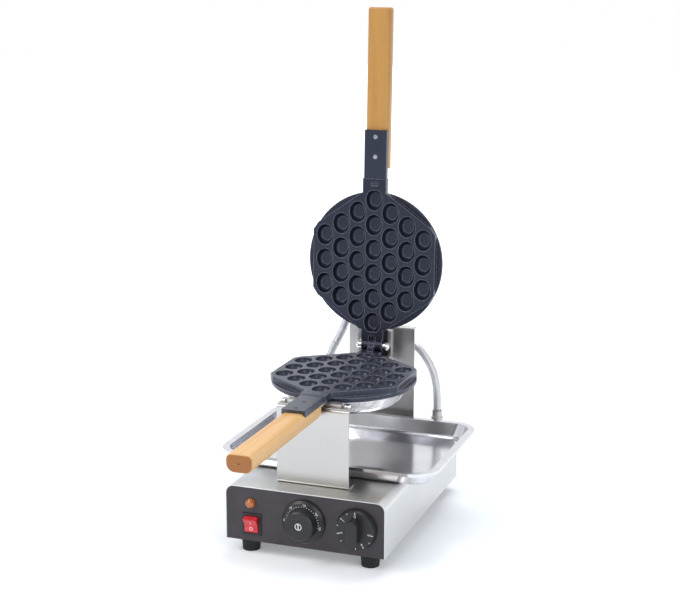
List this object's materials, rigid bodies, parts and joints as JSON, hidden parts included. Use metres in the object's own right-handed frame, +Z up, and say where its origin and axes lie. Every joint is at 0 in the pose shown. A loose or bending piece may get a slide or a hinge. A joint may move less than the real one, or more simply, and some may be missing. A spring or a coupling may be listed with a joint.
{
  "type": "egg waffle pan",
  "caption": "Electric egg waffle maker: two hinged round pans with oval cavities and wooden handles, turning on a bracket over a drip tray and a steel control base.",
  "frame": {"origin": "on the table, under the middle of the whole object's box", "axes": "+Z up, -Y towards the controls and the lower handle, +X to the right seen from the front"},
  "size_m": [0.321, 0.572, 0.7285],
  "materials": {
    "brushed_steel": "brushed, with fine lines along the sheet",
    "plain_steel": "plain satin",
    "bright_steel": "bright plated",
    "polished_steel": "polished, with soft swirls",
    "heater_steel": "heat tinted",
    "conduit_metal": "smooth silver sleeve",
    "coated_casting": "dark slate non-stick coating, slightly rough",
    "orange_wood": "lacquered, straight grain",
    "pale_wood": "lacquered, straight grain",
    "panel_dark": "satin dark grey",
    "black_plastic": "moulded, satin",
    "foot_rubber": "matt",
    "red_plastic": "glossy",
    "amber_lens": "clear amber lens",
    "bush_brass": "machined"
  },
  "bodies": {
    "base": {"base_housing": "brushed_steel", "base_bottom": "plain_steel", "front_panel": "plain_steel", "panel_overlay": "panel_dark", "rear_panel": "plain_steel", "rear_panel_screws": "bright_steel", "mains_gland": "black_plastic", "foot_front_left": "foot_rubber", "foot_front_right": "foot_rubber", "foot_rear_left": "foot_rubber", "foot_rear_right": "foot_rubber", "foot_screws": "bright_steel", "lamp_lens": "amber_lens", "lamp_body": "black_plastic", "switch_body": "black_plastic", "temperature_dial": "black_plastic", "thermostat_body": "black_plastic", "timer_body": "black_plastic", "terminal_block": "black_plastic", "front_bracket": "brushed_steel", "front_rest": "brushed_steel", "front_rest_bolts": "bright_steel", "rear_bracket": "plain_steel", "rotor_bearing": "plain_steel", "bearing_screws": "bright_steel", "rotor_bush": "bush_brass", "rear_cap": "plain_steel", "conduit_glands": "plain_steel", "right_conduit": "conduit_metal", "left_conduit_lower": "conduit_metal"},
    "rotor": {"rotor_shaft": "plain_steel", "shaft_collar": "plain_steel", "rotor_yoke": "brushed_steel", "yoke_screws": "bright_steel", "hinge_pin": "bright_steel", "hinge_nuts": "bright_steel", "left_conduit_upper": "conduit_metal", "lower_pan": "coated_casting", "lower_handle_arm": "coated_casting", "lower_handle": "pale_wood", "lower_handle_screws": "bright_steel", "lower_heater": "heater_steel", "lower_cover": "polished_steel", "lower_cover_screws": "bright_steel"},
    "upper_pan": {"upper_pan": "coated_casting", "upper_handle_arm": "coated_casting", "upper_handle": "orange_wood", "upper_handle_screws": "bright_steel", "upper_heater": "heater_steel", "upper_cover": "polished_steel", "upper_cover_screws": "bright_steel", "upper_terminal_box": "brushed_steel"},
    "tray": {"drip_tray": "brushed_steel"},
    "switch_rocker": {"switch_rocker": "red_plastic"},
    "temperature_knob": {"temperature_knob": "black_plastic", "thermostat_shaft": "plain_steel"},
    "timer_knob": {"timer_knob": "black_plastic", "timer_shaft": "plain_steel"}
  },
  "joints": [
    {"name": "rotor_turn", "type": "hinge", "parent": "base", "child": "rotor", "pos_m": [0, 0.2497, 0.22665], "axis": [0, 1, 0], "range_deg": [-40, 90], "deforming": ["left_conduit_lower"]},
    {"name": "pan_hinge", "type": "hinge", "parent": "rotor", "child": "upper_pan", "pos_m": [0, 0.2101, 0.2329], "axis": [1, 0, 0], "range_deg": [0, 92.27], "deforming": ["left_conduit_upper"]},
    {"name": "tray_slide", "type": "slide", "parent": "base", "child": "tray", "axis": [1, 0, 0], "range_m": [0, 0.33]},
    {"name": "switch_rock", "type": "hinge", "parent": "base", "child": "switch_rocker", "pos_m": [-0.0759, -0.0731, 0.0448], "axis": [-1, 0, 0], "range_deg": [0, 14]},
    {"name": "temperature_turn", "type": "hinge", "parent": "base", "child": "temperature_knob", "pos_m": [0, -0.0753, 0.0585], "axis": [0, 1, 0], "range_deg": [-90, 90]},
    {"name": "timer_turn", "type": "hinge", "parent": "base", "child": "timer_knob", "pos_m": [0.0756, -0.0753, 0.0584], "axis": [0, 1, 0], "range_deg": [0, 300]}
  ]
}
